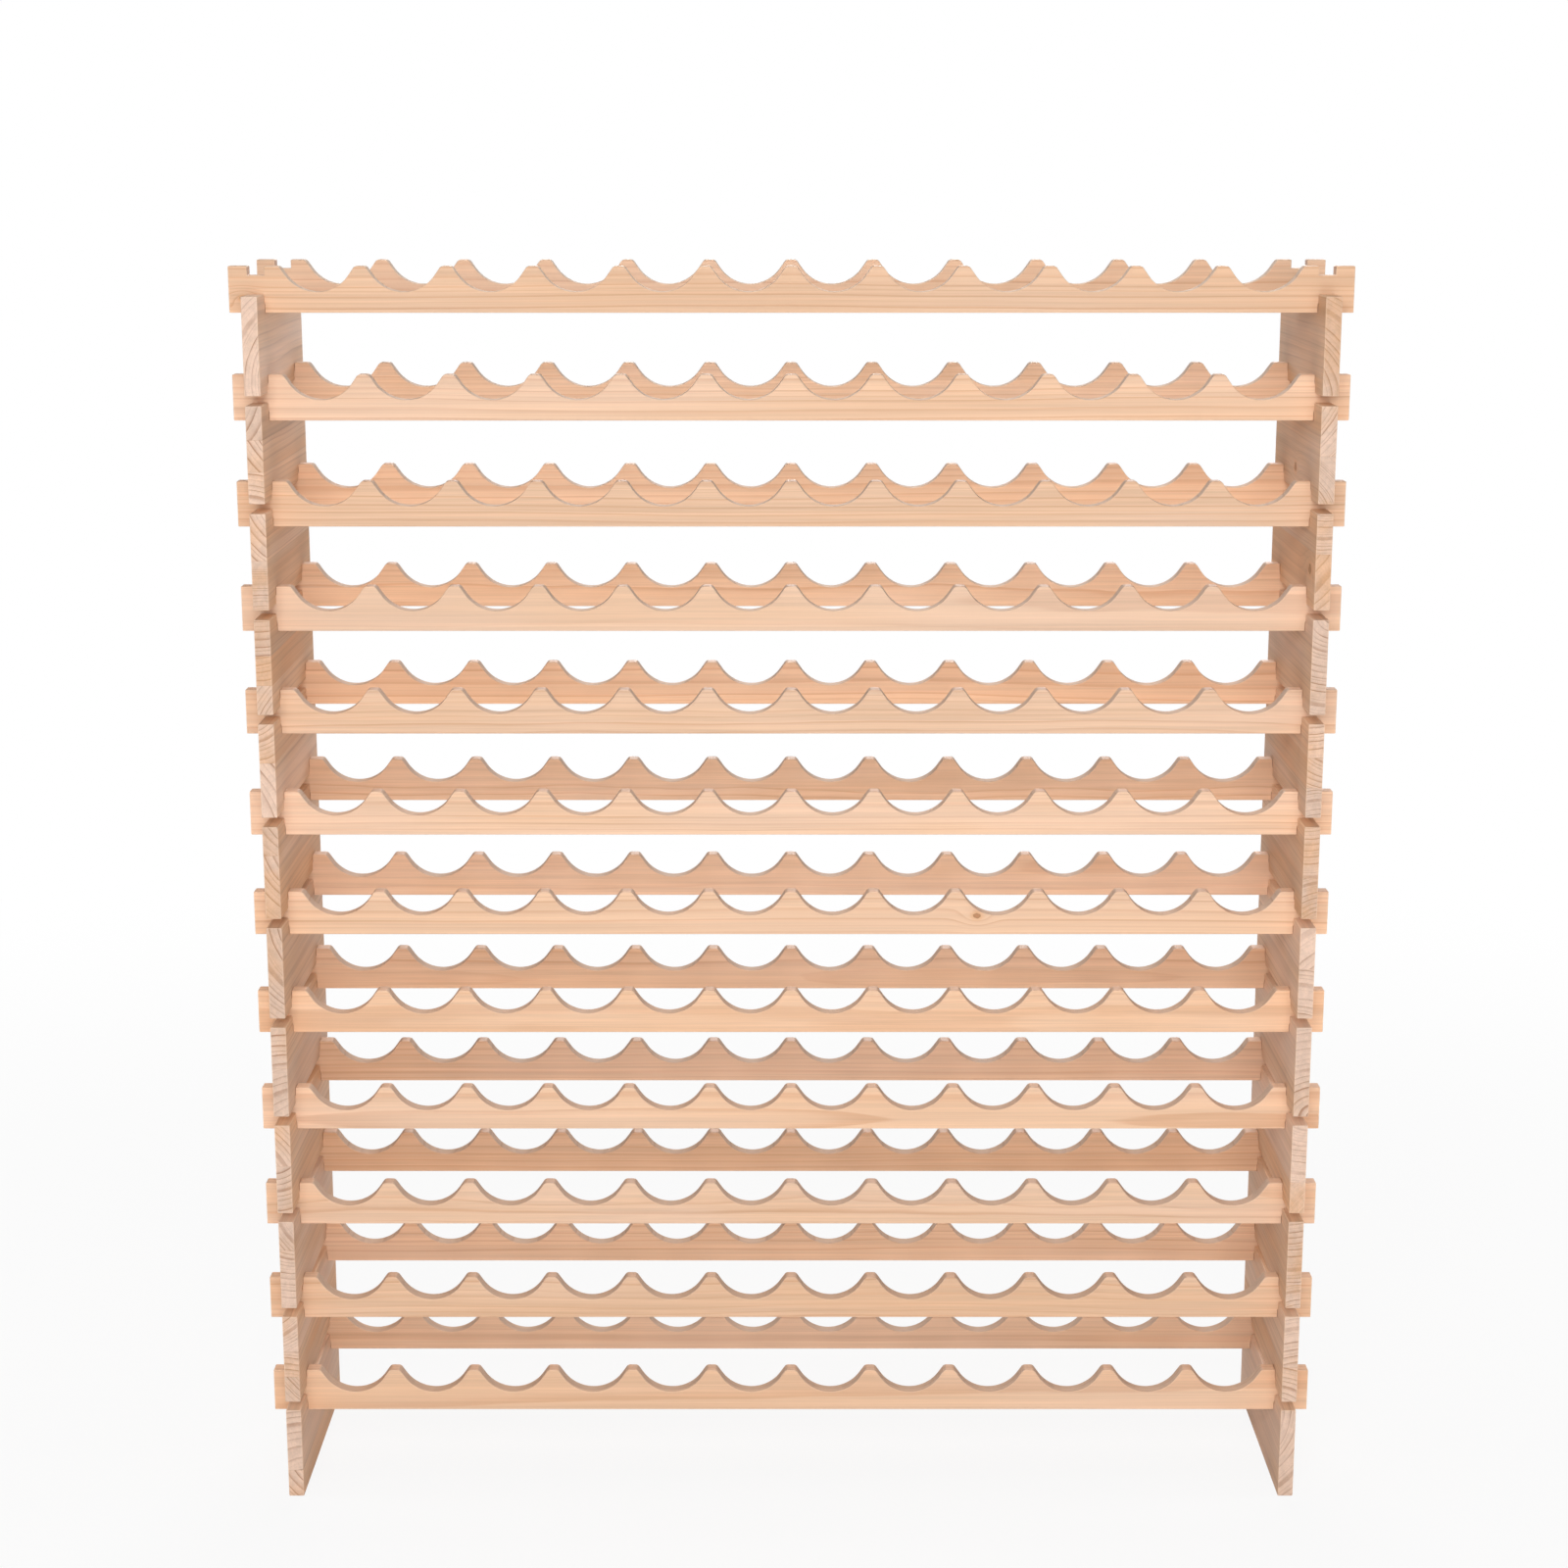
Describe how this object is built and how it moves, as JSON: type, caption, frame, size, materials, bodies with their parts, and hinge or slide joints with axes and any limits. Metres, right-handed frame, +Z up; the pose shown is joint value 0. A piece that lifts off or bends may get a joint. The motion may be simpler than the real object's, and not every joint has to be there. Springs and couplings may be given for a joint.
{
  "type": "wine rack",
  "caption": "Free-standing knock-down pine wine rack: tiers of scalloped front and rear rails cross-lapped into stacked side boards, so bottles lie front to back in cradles.",
  "frame": {"origin": "on the floor, at the middle of the rack's footprint", "axes": "+X along the rails, towards the rack's right as seen from the front; the front faces -Y; +Z up"},
  "size_m": [1.1742, 0.28, 1.365],
  "materials": {
    "rail_pine": "matte",
    "board_pine": "matte"
  },
  "bodies": {
    "root": {"front_rail_01": "rail_pine", "rear_rail_01": "rail_pine", "front_rail_02": "rail_pine", "rear_rail_02": "rail_pine", "front_rail_03": "rail_pine", "rear_rail_03": "rail_pine", "front_rail_04": "rail_pine", "rear_rail_04": "rail_pine", "front_rail_05": "rail_pine", "rear_rail_05": "rail_pine", "front_rail_06": "rail_pine", "rear_rail_06": "rail_pine", "front_rail_07": "rail_pine", "rear_rail_07": "rail_pine", "front_rail_08": "rail_pine", "rear_rail_08": "rail_pine", "front_rail_09": "rail_pine", "rear_rail_09": "rail_pine", "front_rail_10": "rail_pine", "rear_rail_10": "rail_pine", "front_rail_11": "rail_pine", "rear_rail_11": "rail_pine", "front_rail_12": "rail_pine", "rear_rail_12": "rail_pine", "left_leg_board": "board_pine", "left_side_board_01": "board_pine", "left_side_board_02": "board_pine", "left_side_board_03": "board_pine", "left_side_board_04": "board_pine", "left_side_board_05": "board_pine", "left_side_board_06": "board_pine", "left_side_board_07": "board_pine", "left_side_board_08": "board_pine", "left_side_board_09": "board_pine", "left_side_board_10": "board_pine", "left_side_board_11": "board_pine", "right_leg_board": "board_pine", "right_side_board_01": "board_pine", "right_side_board_02": "board_pine", "right_side_board_03": "board_pine", "right_side_board_04": "board_pine", "right_side_board_05": "board_pine", "right_side_board_06": "board_pine", "right_side_board_07": "board_pine", "right_side_board_08": "board_pine", "right_side_board_09": "board_pine", "right_side_board_10": "board_pine", "right_side_board_11": "board_pine"}
  },
  "joints": []
}
